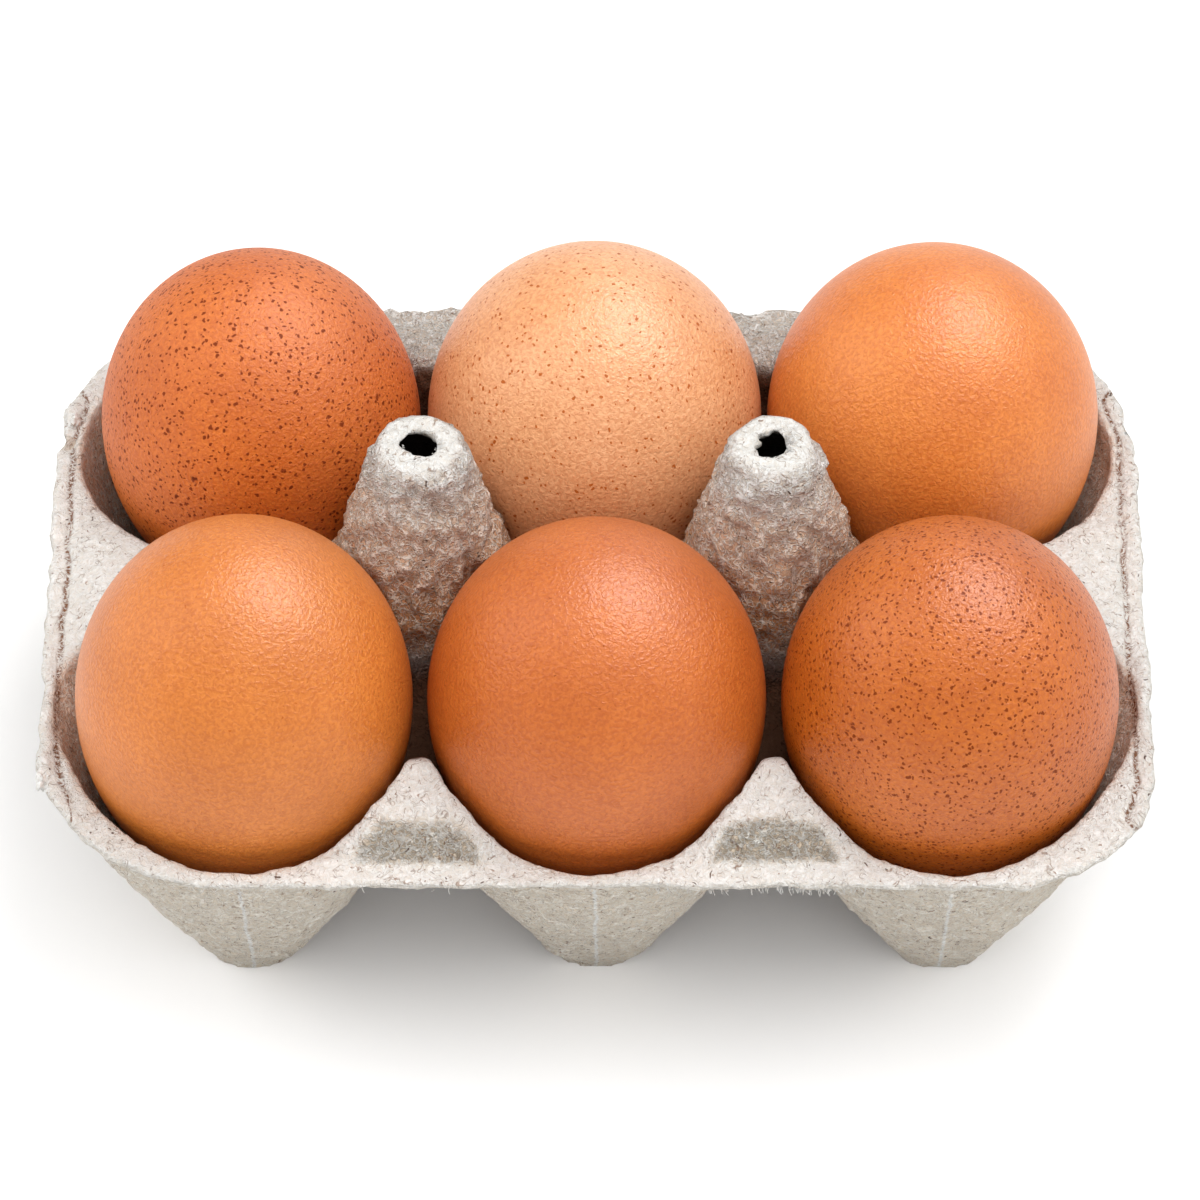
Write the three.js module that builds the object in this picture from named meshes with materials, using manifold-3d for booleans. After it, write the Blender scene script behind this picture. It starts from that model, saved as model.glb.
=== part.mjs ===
// Six brown eggs standing in an open tray of moulded paper pulp.
// Millimetres, +Z up, the front is -Y, and the origin is on the ground below the tray's middle.
import * as THREE from 'three';
import { mergeVertices } from 'three/addons/utils/BufferGeometryUtils.js';
import Module from 'manifold-3d';

const wasm = await Module();
wasm.setup();

// Driving dimensions of the tray
const columnPitch = 47;
const rowPitch = 50.3;
const halfLength = 74.8;
const halfDepth = 52;
const frontLeftCorner = 25;
const frontRightCorner = 20;
const backCorner = 27;
const pulp = 1.8;
const rimHeight = 40.6;
const postHeight = 70;
const holeRadius = 2.25;
const footStretch = 2.3;
const footSquareness = 3.6;
const cellSides = 26;
const postSides = 20;
const deckStep = 5.5;
const clearOfTray = 8;
const wellAbove = 95;

// Half of the cell's hollow: its radius along X at each height, from the flat floor up
const cellProfile = [
  [4.2, pulp], [5.7, 3.1], [9.8, 11.5], [15, 21.5], [19.8, 30.5],
  [21.8, 35.2], [22.8, 39], [23.1, 41.5], [24.1, 45],
];

// Where a corner cell's wall bulges out to the tray's end: how far, and how many degrees
// from straight outwards towards the tray's middle
const frontBulge = { reach: 3.6, turn: 25 };
const backBulge = { reach: 1, turn: 4 };

// How far a cell's wall flares outwards along the tray's long side, and where bulge and flare start
const sideFlare = 1.5;
const flareFoot = 33;
const flareTaper = 6;

// Half of a post: radius and height, from its rounded top down
const postProfile = [
  [4.9, postHeight], [5.8, postHeight - 0.6], [6.5, postHeight - 2.2], [7.2, postHeight - 5],
  [8.9, postHeight - 11.5], [11.4, postHeight - 20.4], [14, postHeight - 30], [17.5, postHeight - 42],
];

// The land between two neighbours in a row: distance from the middle line and height
const peakLine = [
  [12, 40], [19, 33.5], [25, 31.5], [29.5, 35], [33, 44.5], [35.5, 47.5],
  [45, 44.2], [48, rimHeight], [70, rimHeight],
];
const peakFlat = 5;
const peakFoot = 14;

// The land between the two rows: distance from the middle column and height
const rowLine = [
  [0, 37], [23.5, 43], [47, 37], [53, 38.5], [59, 43],
  [64, 43.2], [72.5, rimHeight], [90, rimHeight],
];
const rowFlat = 5;
const rowFoot = 16;

// The raised mould line down the outer face of each foot
const ribWidth = 0.8;
const ribProud = 0.4;
const ribTop = 36;

// The eggs: name, colour, place of the widest ring, half width, blunt half, pointed half,
// and how far the blunt end leans to the right, in degrees
const eggs = [
  ['egg_front_left', '#e0924f', [-46.9, -25.1, 47.2], 22.5, 27, 32.4, 0],
  ['egg_front_middle', '#d9814a', [0.1, -25.1, 47.2], 22.6, 26.2, 32.4, 0],
  ['egg_front_right', '#d98448', [47.2, -25.1, 47], 22.5, 26.9, 32.4, 0],
  ['egg_back_left', '#b9652f', [-46, 25.2, 46.6], 21.9, 25.9, 31, -2.5],
  ['egg_back_middle', '#e6b18a', [-0.2, 25.1, 48], 22.9, 25, 33.4, 0],
  ['egg_back_right', '#e09455', [46.2, 25.1, 47.6], 22.7, 25.4, 31, 1.5],
];
const eggTaper = 0.12;
const eggSides = 24;
const eggRings = 13;

function between(points, at) {
  const last = points.length - 1;
  if (at <= points[0][0]) {
    return points[0][1];
  }
  for (let i = 0; i < last; i += 1) {
    const [from, low] = points[i];
    const [to, high] = points[i + 1];
    if (at <= to) {
      return low + (high - low) * (at - from) / (to - from);
    }
  }
  return points[last][1];
}

function fade(distance, flat, foot) {
  return 1 - THREE.MathUtils.smoothstep(Math.abs(distance), flat, foot);
}

// Height of the land that the cells are sunk into, without the posts
function landHeight(x, y) {
  const peaks = fade(Math.abs(x) - columnPitch / 2, peakFlat, peakFoot);
  const rows = fade(y, rowFlat, rowFoot);
  const peakRise = peaks * (between(peakLine, Math.abs(y)) - rimHeight);
  const rowRise = rows * (between(rowLine, Math.abs(x)) - rimHeight);
  const shared = peaks * rows;
  return rimHeight + peakRise * (1 - shared) + rowRise;
}

// The same land seen from below: a ball of the sheet's thickness rolled along under it
function undersideHeight(x, y) {
  let height = landHeight(x, y) - pulp;
  for (const reach of [0.5, 0.85, 1]) {
    const drop = pulp * Math.sqrt(1 - reach * reach);
    for (let turn = 0; turn < 8; turn += 1) {
      const angle = turn * Math.PI / 4;
      const beside = landHeight(x + pulp * reach * Math.cos(angle), y + pulp * reach * Math.sin(angle));
      height = Math.min(height, beside - drop);
    }
  }
  return height;
}

function solidOf(geometry) {
  const bare = geometry.clone();
  bare.deleteAttribute('normal');
  bare.deleteAttribute('uv');
  const merged = mergeVertices(bare, 1e-4);
  const corners = merged.index.array;
  const kept = [];
  for (let i = 0; i < corners.length; i += 3) {
    const [a, b, c] = [corners[i], corners[i + 1], corners[i + 2]];
    if (a !== b && b !== c && c !== a) {
      kept.push(a, b, c);
    }
  }
  const mesh = new wasm.Mesh({
    numProp: 3,
    vertProperties: new Float32Array(merged.attributes.position.array),
    triVerts: new Uint32Array(kept),
  });
  return new wasm.Manifold(mesh);
}

function geometryOf(solid) {
  const { vertProperties, triVerts } = solid.getMesh();
  const geometry = new THREE.BufferGeometry();
  geometry.setAttribute('position', new THREE.BufferAttribute(new Float32Array(vertProperties), 3));
  geometry.setIndex(new THREE.BufferAttribute(new Uint32Array(triVerts), 1));
  geometry.computeVertexNormals();
  return geometry;
}

// A turned shape standing on +Z, from a profile of radius and height read upwards
function turned(profile, sides) {
  const points = profile.map(([radius, height]) => new THREE.Vector2(radius, height));
  return new THREE.LatheGeometry(points, sides).rotateX(Math.PI / 2);
}

function joined(solids) {
  return solids.reduce((all, next) => all.add(next));
}

// Lines from -reach to reach that include every knot on both sides, no more than a step apart
function gridLines(knots, reach) {
  const marks = new Set([-reach, reach]);
  for (const knot of knots) {
    if (knot < reach) {
      marks.add(knot);
      marks.add(-knot);
    }
  }
  const sorted = [...marks].sort((a, b) => a - b);
  const lines = [sorted[0]];
  for (let i = 1; i < sorted.length; i += 1) {
    const start = sorted[i - 1];
    const parts = Math.ceil((sorted[i] - start) / deckStep);
    for (let part = 1; part <= parts; part += 1) {
      lines.push(start + (sorted[i] - start) * part / parts);
    }
  }
  return lines;
}

// Everything below a surface of heights, down to a flat base
function landSolid(height, base) {
  const middle = columnPitch / 2;
  const shoulder = (peakFlat + peakFoot) / 2;
  const beside = [0, peakFlat, shoulder, peakFoot].flatMap((reach) => [middle - reach, middle + reach]);
  const xKnots = [...beside, ...rowLine.map(([distance]) => distance)];
  const yKnots = [rowFlat, ...peakLine.map(([distance]) => distance)];
  const xs = gridLines(xKnots, halfLength + clearOfTray);
  const ys = gridLines(yKnots, halfDepth + clearOfTray);
  const sheet = new THREE.PlaneGeometry(1, 1, xs.length - 1, ys.length - 1);
  const place = sheet.attributes.position;
  const inner = sheet.index.array;
  const count = place.count;
  const corners = [];
  const triangles = [];
  for (let i = 0; i < count; i += 1) {
    const x = xs[i % xs.length];
    const y = ys[ys.length - 1 - Math.floor(i / xs.length)];
    corners.push(x, y, height(x, y));
  }
  for (let i = 0; i < count; i += 1) {
    corners.push(corners[3 * i], corners[3 * i + 1], base);
  }
  for (let i = 0; i < inner.length; i += 3) {
    triangles.push(inner[i], inner[i + 1], inner[i + 2]);
    triangles.push(inner[i] + count, inner[i + 2] + count, inner[i + 1] + count);
  }
  const edge = [];
  for (let i = 0; i < xs.length - 1; i += 1) {
    edge.push(i);
  }
  for (let j = 0; j < ys.length - 1; j += 1) {
    edge.push(j * xs.length + xs.length - 1);
  }
  for (let i = xs.length - 1; i > 0; i -= 1) {
    edge.push((ys.length - 1) * xs.length + i);
  }
  for (let j = ys.length - 1; j > 0; j -= 1) {
    edge.push(j * xs.length);
  }
  edge.forEach((here, i) => {
    const next = edge[(i + 1) % edge.length];
    triangles.push(here, next, next + count);
    triangles.push(here, next + count, here + count);
  });
  const geometry = new THREE.BufferGeometry();
  geometry.setAttribute('position', new THREE.Float32BufferAttribute(corners, 3));
  geometry.setIndex(triangles);
  return solidOf(geometry);
}

// The tray's outline from above, with rounder corners at the back
function outline() {
  const shape = new THREE.Shape();
  const corners = [
    [1, -1, frontRightCorner], [1, 1, backCorner], [-1, 1, backCorner], [-1, -1, frontLeftCorner],
  ];
  shape.moveTo(-halfLength + frontLeftCorner, -halfDepth);
  corners.forEach(([right, back, radius], i) => {
    const start = (i - 1) * Math.PI / 2;
    shape.absarc(right * (halfLength - radius), back * (halfDepth - radius), radius, start, start + Math.PI / 2);
  });
  return new THREE.ExtrudeGeometry(shape, { depth: wellAbove, bevelEnabled: false, curveSegments: 12 });
}

// The cell's profile moved outwards by a margin, square to its own slope
function grownProfile(margin) {
  const last = cellProfile.length - 1;
  return cellProfile.map(([radius, height], i) => {
    const [lowRadius, lowHeight] = cellProfile[Math.max(i - 1, 0)];
    const [highRadius, highHeight] = cellProfile[Math.min(i + 1, last)];
    const slope = Math.atan2(highHeight - lowHeight, highRadius - lowRadius);
    return [radius + margin * Math.sin(slope), height - margin * Math.cos(slope)];
  });
}

// How far a cell stretches from front to back at a height, more towards its foot
function stretchAt(height) {
  return footStretch * Math.max(0, 1 - height / rimHeight);
}

function flareAt(height) {
  return THREE.MathUtils.smoothstep(height, flareFoot, rimHeight);
}

// How far the wall of the cell at x and y stands out in one direction, at the height of the rim
function wallOutwards(x, y, cosine, sine) {
  const { reach, turn } = y < 0 ? frontBulge : backBulge;
  const angle = THREE.MathUtils.degToRad(turn);
  const outward = cosine * Math.sign(x);
  const towardsSide = sine * Math.sign(y);
  const onBulge = outward * Math.cos(angle) - towardsSide * Math.sin(angle);
  const bulge = x === 0 ? 0 : reach * Math.max(0, onBulge) ** flareTaper;
  return bulge + sideFlare * Math.max(0, towardsSide) ** flareTaper;
}

// One cell's hollow, or with a margin the outside of its cup: round at the rim,
// squarer and longer from front to back at the foot
function cellSolid(x, y, margin) {
  const grown = grownProfile(margin);
  const [[footRadius]] = grown;
  const [topRadius] = grown[grown.length - 1];
  const floor = margin > 0 ? [[0, -1], [footRadius, -1], [footRadius, 0]] : [[0, pulp]];
  const sides = grown.filter(([, height]) => margin === 0 || height > 0.4);
  const shape = turned([...floor, ...sides, [topRadius, wellAbove], [0, wellAbove]], cellSides);
  const place = shape.attributes.position;
  for (let i = 0; i < place.count; i += 1) {
    const radius = Math.hypot(place.getX(i), place.getY(i));
    if (radius > 1e-3) {
      const height = place.getZ(i);
      const low = THREE.MathUtils.clamp(1 - height / rimHeight, 0, 1);
      const power = 2 + (footSquareness - 2) * low;
      const cosine = place.getX(i) / radius;
      const sine = place.getY(i) / radius;
      const square = (Math.abs(cosine) ** power + Math.abs(sine) ** power) ** (-1 / power);
      const outwards = wallOutwards(x, y, cosine, sine) * flareAt(height);
      place.setX(i, (radius * square + outwards) * cosine);
      place.setY(i, ((radius + stretchAt(height)) * square + outwards) * sine);
    }
  }
  return solidOf(shape.translate(x, y, 0));
}

function cellPlaces() {
  const places = [];
  for (const column of [-1, 0, 1]) {
    for (const row of [-0.5, 0.5]) {
      places.push([column * columnPitch, row * rowPitch]);
    }
  }
  return places;
}

// A hollow cone between four cells, or with a margin the space inside it
function postSolid(x, margin) {
  const upwards = postProfile.map(([radius, height]) => [Math.max(radius - margin, 0.6), height - margin]);
  upwards.reverse();
  const [baseRadius] = upwards[0];
  const [, topHeight] = upwards[upwards.length - 1];
  const base = margin > 0 ? -1 : 0;
  const profile = [[0, base], [baseRadius, base], ...upwards, [0, topHeight]];
  return solidOf(turned(profile, postSides).translate(x, 0, 0));
}

function holeSolid(x) {
  const profile = [[0, postHeight / 2], [holeRadius, postHeight / 2], [holeRadius, wellAbove], [0, wellAbove]];
  return solidOf(turned(profile, 12).translate(x, 0, 0));
}

// A thin ridge down the outer face of one foot, on the front or the back of the tray
function ribSolid(x, side) {
  const face = (margin) => grownProfile(margin)
    .filter(([, height]) => height > 0 && height < ribTop)
    .map(([radius, height]) => new THREE.Vector2(
      rowPitch / 2 + radius + stretchAt(height) + flareAt(height) * sideFlare,
      height,
    ));
  const shape = new THREE.Shape([...face(pulp + ribProud), ...face(pulp / 2).reverse()]);
  const rib = new THREE.ExtrudeGeometry(shape, { depth: ribWidth, bevelEnabled: false });
  rib.translate(0, 0, -ribWidth / 2).rotateX(Math.PI / 2).rotateZ(side * Math.PI / 2);
  return solidOf(rib.translate(x, 0, 0));
}

// Everything below the tray's upper face, less everything below its lower face
function trayGeometry() {
  const posts = [-columnPitch / 2, columnPitch / 2];
  const cells = cellPlaces();
  const hollows = joined(cells.map(([x, y]) => cellSolid(x, y, 0)));
  const cups = joined(cells.map(([x, y]) => cellSolid(x, y, pulp)));
  const upper = landSolid(landHeight, 0)
    .intersect(solidOf(outline()))
    .add(joined(posts.map((x) => postSolid(x, 0))))
    .subtract(hollows);
  const lower = landSolid(undersideHeight, -1)
    .add(joined(posts.map((x) => postSolid(x, pulp))))
    .subtract(cups);
  const ribs = joined(cells.map(([x, y]) => ribSolid(x, Math.sign(y)))).subtract(hollows);
  return geometryOf(upper
    .subtract(lower)
    .subtract(joined(posts.map((x) => holeSolid(x))))
    .add(ribs));
}

// An egg about its widest ring: turned from the pointed end, which is slimmer, up to the blunt end
function eggGeometry(halfWidth, blunt, pointed) {
  const profile = [];
  for (let ring = 0; ring <= eggRings; ring += 1) {
    const angle = Math.PI * ring / eggRings;
    const down = Math.max(0, Math.cos(angle));
    const radius = halfWidth * Math.sin(angle) * (1 - eggTaper * down * down);
    const length = down > 0 ? pointed : blunt;
    profile.push([ring % eggRings ? radius : 0, -length * Math.cos(angle)]);
  }
  return geometryOf(solidOf(turned(profile, eggSides)));
}

function finish(colour, roughness) {
  return new THREE.MeshStandardMaterial({ color: colour, roughness, metalness: 0 });
}

const carton = new THREE.Group();
const tray = new THREE.Mesh(trayGeometry(), finish('#cfc6bb', 0.95));
tray.name = 'tray';
carton.add(tray);

for (const [name, colour, [x, y, z], halfWidth, blunt, pointed, lean] of eggs) {
  const egg = new THREE.Mesh(eggGeometry(halfWidth, blunt, pointed), finish(colour, 0.45));
  egg.name = name;
  egg.position.set(x, y, z);
  egg.rotation.y = THREE.MathUtils.degToRad(lean);
  carton.add(egg);
}

export default carton;
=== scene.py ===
"""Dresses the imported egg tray: moulded pulp with its real relief, and six eggshells.

The frame is in metres, +Z up, with the front at -Y. Shapes are worked out in millimetres
and scaled once, when a piece is finished.
"""

import math
import random
from types import SimpleNamespace

import bmesh
import bpy
import numpy as np
from mathutils import Matrix, Vector, noise


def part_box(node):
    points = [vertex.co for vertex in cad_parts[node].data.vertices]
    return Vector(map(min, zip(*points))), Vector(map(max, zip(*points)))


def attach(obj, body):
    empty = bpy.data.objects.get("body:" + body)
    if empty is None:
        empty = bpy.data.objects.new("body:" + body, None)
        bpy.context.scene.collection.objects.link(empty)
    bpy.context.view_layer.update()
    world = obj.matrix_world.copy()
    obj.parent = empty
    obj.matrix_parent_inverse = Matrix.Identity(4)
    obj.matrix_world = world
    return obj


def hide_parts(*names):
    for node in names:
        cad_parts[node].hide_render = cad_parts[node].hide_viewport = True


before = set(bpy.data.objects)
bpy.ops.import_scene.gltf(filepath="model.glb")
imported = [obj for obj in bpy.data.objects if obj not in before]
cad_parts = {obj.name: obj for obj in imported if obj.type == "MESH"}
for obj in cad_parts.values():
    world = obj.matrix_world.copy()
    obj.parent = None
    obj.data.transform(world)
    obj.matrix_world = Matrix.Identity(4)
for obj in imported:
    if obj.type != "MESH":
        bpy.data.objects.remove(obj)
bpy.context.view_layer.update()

MM = 0.001
tray_low, tray_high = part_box("tray")

# Driving sizes of the tray in millimetres, as in its solid
COLUMN_PITCH = 47.0
ROW_PITCH = 50.3
HALF_LENGTH = tray_high.x / MM
HALF_DEPTH = tray_high.y / MM
POST_HEIGHT = tray_high.z / MM
FRONT_LEFT_CORNER = 25.0
FRONT_RIGHT_CORNER = 20.0
BACK_CORNER = 27.0
PULP = 1.8
RIM_HEIGHT = 40.6
FOOT_STRETCH = 2.3
FOOT_SQUARENESS = 3.6
EDGE_WANDER = 0.3

# How far the blocks that the tray is cut from reach past it
CLEAR_OF_TRAY = 8.0
WELL_ABOVE = 95.0
HOLE_DEPTH = 12.0
HOLE_ABOVE = 4.0

# The holes in the posts, slightly wider than the solid's, with a thin lip and a wider way below it
HOLE_RADIUS = 2.1
LIP = 0.35
LIP_SLOPE = 0.87

# Raggedness of the holes: share of the radius, and turns per millimetre
HOLE_RAGGED = [
    (0.36, 0.45),
    (0.55, 0.95),
]

# Half of a cell's hollow: radius along X at each height
CELL_RADII = [4.2, 5.7, 9.8, 15.0, 19.8, 21.8, 22.8, 23.1, 24.1]
CELL_HEIGHTS = [PULP, 3.1, 11.5, 21.5, 30.5, 35.2, 39.0, 41.5, 45.0]

# Where a corner cell stands out at the rim: reach, and degrees from straight outwards to the middle
FRONT_BULGE = (3.6, 25.0)
BACK_BULGE = (1.0, 4.0)
SIDE_FLARE = 1.5
FLARE_FOOT = 33.0
FLARE_TAPER = 6

# Half of a post: radius at each depth below its top
POST_RADII = [4.9, 5.8, 6.5, 7.2, 8.9, 11.4, 14.0, 17.5]
POST_DEPTHS = [0.0, 0.6, 2.2, 5.0, 11.5, 20.4, 30.0, 42.0]

# The land between two neighbours in a row: distance from the middle line, and height
PEAK_PLACES = [12, 19, 25, 29.5, 33, 35.5, 45, 48, 70]
PEAK_HEIGHTS = [40, 33.5, 31.5, 35, 44.5, 47.5, 44.2, RIM_HEIGHT, RIM_HEIGHT]
PEAK_FLAT = 5.0
PEAK_FOOT = 14.0

# The land between the two rows: distance from the middle column, and height
ROW_PLACES = [0, 23.5, 47, 53, 59, 64, 72.5, 90]
ROW_HEIGHTS = [37, 43, 37, 38.5, 43, 43.2, RIM_HEIGHT, RIM_HEIGHT]
ROW_FLAT = 5.0
ROW_FOOT = 16.0

# Fineness of the worked shapes
LAND_STEP = 1.3
CELL_STEP = 1.2
CELL_SIDES = 96
POST_SIDES = 64
HOLE_SIDES = 48
HOLE_STEPS = 64
VOXEL = 0.56
TRAY_TRIANGLES = 190000

# The eggs: node, place of the widest ring, half width, blunt half, pointed half, and lean in degrees
EGGS = [
    ("egg_front_left", (-46.9, -25.1, 47.2), 22.5, 27.0, 32.4, 0.0),
    ("egg_front_middle", (0.1, -25.1, 47.2), 22.6, 26.2, 32.4, 0.0),
    ("egg_front_right", (47.2, -25.1, 47.0), 22.5, 26.9, 32.4, 0.0),
    ("egg_back_left", (-46.0, 25.2, 46.6), 21.9, 25.9, 31.0, -2.5),
    ("egg_back_middle", (-0.2, 25.1, 48.0), 22.9, 25.0, 33.4, 0.0),
    ("egg_back_right", (46.2, 25.1, 47.6), 22.7, 25.4, 31.0, 1.5),
]
EGG_TAPER = 0.12
EGG_SIDES = 120
EGG_RINGS = 72

# The fold inside each end of the rim
FOLD_INSIDE = 2.3
FOLD_DEPTH = 0.35

# How far the torn rim is pinched, and how proud the bead along it and the mould lines stand
RIM_PINCH = 0.5
BEAD_PROUD = 0.15
RIB_PROUD = 0.14

# Heights of the pulp's lumps: everywhere, where it is rough, on the posts and behind them
LUMPS_ALL = 0.11
LUMPS_ROUGH = 0.22
LUMPS_POST = 0.16
BACK_LUMPS = 0.5
CRUMPLE = 1.3
FELT = 0.08

# How far the shape wanders: distance, grain and seed, then by its finer wander in three places
WANDERS = [
    (0.26, 13.0, 1),
    (0.1, 1.5, 3),
]
FINE_WANDER = 0.16
EDGE_FINE_WANDER = 0.28
POST_FINE_WANDER = 0.4

# Where the tray's zones begin and end: each weight goes from 0 to 1 between the two
BELOW_LAND = (0.7, 1.2)
INSIDE_POST = (0.7, 1.2)
OUTSIDE_CUP = (0.5, 0.9)
IN_HOLLOW = (-0.9, -0.5)
FLANK_FOOT = (40, 46)
FLANK_TOP = (59, 68)
FLANK_REACH = (17, 20)
POST_FOOT = (42, 48)
POST_SHOULDER = (67, 69.5)
POST_REACH = (15, 18)
BEHIND_FROM = (27, 31)
BEHIND_FOOT = (38, 41)
BEHIND_REACH = (9, 13)
ENDS_FROM = (68, 70.5)
ENDS_REACH = (36, 43)
GULLY_FROM = (8, 12)
GULLY_TO = (34.3, 35.8)
GULLY_REACH = (9, 14)
GULLY_TOP = (38, 47)

# The steep slope at each end of a land between neighbours: near and far place, and half width
BAND = (43.6, 48.3)
BAND_HALF = 8.6

# Raised or sunk spots on the rim: place, reach and height
LUMPS = [
    ((-73.4, 27.3), 1.5, -1.6),
    ((-73.0, 32.0), 1.9, 0.8),
    ((-73.6, -30.5), 1.6, 0.5),
    ((74.0, -14.3), 1.2, 0.6),
    ((74.0, -17.6), 1.1, 0.5),
    ((74.2, 30.0), 1.8, -1.0),
    ((71.5, 33.6), 1.2, 0.5),
]

# Scraps on the rim: middle and half sizes
SCRAPS = [
    ((-73.9, -33.0, 39.9), (0.8, 2.0, 0.9)),
    ((-73.6, -30.4, 40.4), (0.7, 1.3, 0.8)),
    ((-72.3, 30.6, 40.9), (1.0, 1.5, 0.8)),
    ((74.2, -14.6, 40.0), (0.6, 1.0, 0.8)),
]

# The pulp's colours
PULP_LIGHT = "#f1f1ef"
PULP_DARK = "#d3d0cb"
PULP_PATCH = "#ddd8d1"
FOOT_TINT = "#fbf5eb"
WIRE_GROUND = "#faf7f1"
WIRE_GAPS = "#e2d6c6"
ROUGH_GAPS = "#fdf0e0"
# Painted shade and brown painted bounce light from the eggs, on the posts' flanks and in the cells' hollows
PAINTED_BOUNCE_TINT = "#fcd0a6"
PAINTED_BOUNCE_GAPS = "#f8c8a0"
BRIM_TINT = "#cfae99"
FOLD_TINT = "#8a5f43"
TORN_DARK = "#d2cabe"
TORN_LIGHT = "#f0ece6"
# Painted shade for the narrow places between the eggs, the cells' floors and the underside
PAINTED_SHADE_TINT = "#7a5540"
# Painted shade: near black for the top of each post's inside
PAINTED_POST_SHADE = "#241a14"

# Widths of the lines drawn on the pulp, in millimetres
BRIM_WIDTH = 0.55
FOLD_WIDTH = 0.65
RIB_WIDTH = 0.4

# Matted strands: seed, turns per millimetre and width of the crossing
MATTED = [
    (11.0, 0.9, 0.09),
    (13.0, 1.45, 0.08),
]

# Single fibres: seed, turns per millimetre, width of the crossing, tint and strength
FIBRES = [
    (1.0, 0.8, 0.034, "#96775f", 0.75),
    (4.0, 1.15, 0.036, "#7f6350", 0.6),
    (7.0, 0.85, 0.050, "#f4f1ec", 0.5),
]

# Specks in the pulp: spacing, size, share, tint and strength
PULP_SPECKS = [
    (2.1, 0.62, 0.6, "#543a2a", 0.9),
    (1.2, 0.42, 0.45, "#84634a", 0.8),
]

# The pulp's weights where a scrap or a loose fibre stands
LOOSE_WEIGHTS = {"brown": 0.0, "painted_shade": 0.0, "dark": 0.0, "rough": 0.2, "torn": 0.0, "foot": 0.0,
                 "coarse": 0.0, "brim": 9.0, "fold": 9.0, "rib": 9.0}

# Loose hairs: three in four of those on the front edge are in a tuft, given by its middle and spread
FIBRE_RADIUS = 0.075
FRONT_FIBRES = 130
FRONT_TUFT = (24, 8)
FRONT_SPAN = (-52, 55)
FRONT_LENGTHS = (0.5, 1.5)
HOLE_FIBRES = 6
HOLE_LENGTHS = (0.2, 0.5)

# Pores in the eggshell are drawn 0.5 mm apart, coarser than life, so that they show
PORE = 0.5
PORE_TINT = "#d6b59c"

# How glossy the shell is, and where a freckle dulls it
SHELL_GLOSS = 0.5
FRECKLE_GLOSS = 0.12

# Eggshell: slot, lighter and darker ground, roughness, and freckles as spacing, size, share, tint, strength
SHELLS = [
    ("shell_tan", "#d47e33", "#ca752c", 0.42,
     [(1.6, 0.34, 0.7, "#a84c14", 0.7)]),
    ("shell_orange_brown", "#c86d29", "#be6423", 0.42,
     [(1.6, 0.34, 0.7, "#8a4016", 0.7), (5.5, 0.8, 0.25, "#7d3a1c", 0.8)]),
    ("shell_freckled", "#c4691c", "#ba6016", 0.42,
     [(0.7, 0.6, 0.9, "#76300c", 0.95), (4.5, 0.9, 0.2, "#6d3a24", 0.85)]),
    ("shell_dark_freckled", "#cf6e22", "#c5651c", 0.58,
     [(0.78, 0.64, 0.9, "#7a3210", 1.0), (3.4, 1.05, 0.3, "#6c2a0c", 1.0)]),
    ("shell_pale", "#e6ab7c", "#df9f6c", 0.42,
     [(1.0, 0.6, 0.8, "#a9551a", 0.95), (3.5, 0.8, 0.3, "#984a12", 0.95)]),
    ("shell_golden", "#dc8338", "#d37830", 0.42,
     [(1.6, 0.34, 0.7, "#9a4e18", 0.7)]),
]

# Camera fitted to the photograph
LENS = 237.27
SENSOR = 36.0
ELEVATION = math.radians(49.2)
DISTANCE = 1077.8 * MM
TARGET = Vector((0.55, 0.11, 38.0)) * MM

# Studio: softboxes as name, heading, size, power, and whether they light what is matt and show in gloss
FLOOR_REACH = 3.0
WORLD_LIGHT = 0.18
SOFTBOX_DISTANCE = 2.6
SOFTBOXES = [
    ("key", (0.28, 0.36, 0.89), 0.95, 21.0, True, True),
    ("front", (0.05, -0.4, 0.915), 4.0, 99.0, True, False),
    ("left", (-0.85, 0.1, 0.55), 2.2, 34.0, True, True),
    ("right", (0.85, 0.0, 0.55), 2.2, 20.0, True, True),
    ("sheen", (0.36, 0.28, 0.89), 2.0, 95.0, False, True),
    ("backdrop", (0.1, 0.9, 0.43), 3.0, 26.0, False, True),
]

# Sockets of a colour Mix node
MIX_A, MIX_B = 6, 7


def linear(hex_colour):
    """An sRGB hex colour as linear red, green, blue and alpha."""
    channels = [int(hex_colour[i:i + 2], 16) / 255 for i in (1, 3, 5)]
    return [c / 12.92 if c <= 0.04045 else ((c + 0.055) / 1.055) ** 2.4 for c in channels] + [1.0]


def add(tree, kind, settings=None, links=None):
    """Adds a node with its fields and socket values set. Each input is linked to a socket,
    or to the first output in use of a node."""
    node = tree.nodes.new(kind)
    for name, value in (settings or {}).items():
        if isinstance(name, int) or name in node.inputs:
            node.inputs[name].default_value = value
        else:
            setattr(node, name, value)
    for name, source in (links or {}).items():
        if isinstance(source, bpy.types.Node):
            source = next(socket for socket in source.outputs if socket.enabled)
        tree.links.new(source, node.inputs[name])
    return node


def new_material(name):
    """A material with an empty tree and its coordinates in millimetres."""
    material = bpy.data.materials.new(name)
    material.use_nodes = True
    tree = material.node_tree
    tree.nodes.clear()
    place = add(tree, "ShaderNodeTexCoord")
    grid = add(tree, "ShaderNodeVectorMath", {"operation": "SCALE", "Scale": 1 / MM},
               {0: place.outputs["Object"]})
    return material, tree, grid.outputs["Vector"]


# Shapes shared by the tray's parts

def smooth_step(value, low, high):
    """Goes smoothly from 0 at low to 1 at high."""
    t = np.clip((value - low) / (high - low), 0.0, 1.0)
    return t * t * (3 - 2 * t)


def rounded(at, places, values, reach):
    """A line through the given places with its corners rounded over a reach."""
    offsets = np.linspace(-reach, reach, 7)
    return sum(np.interp(at + offset, places, values) for offset in offsets) / len(offsets)


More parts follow.
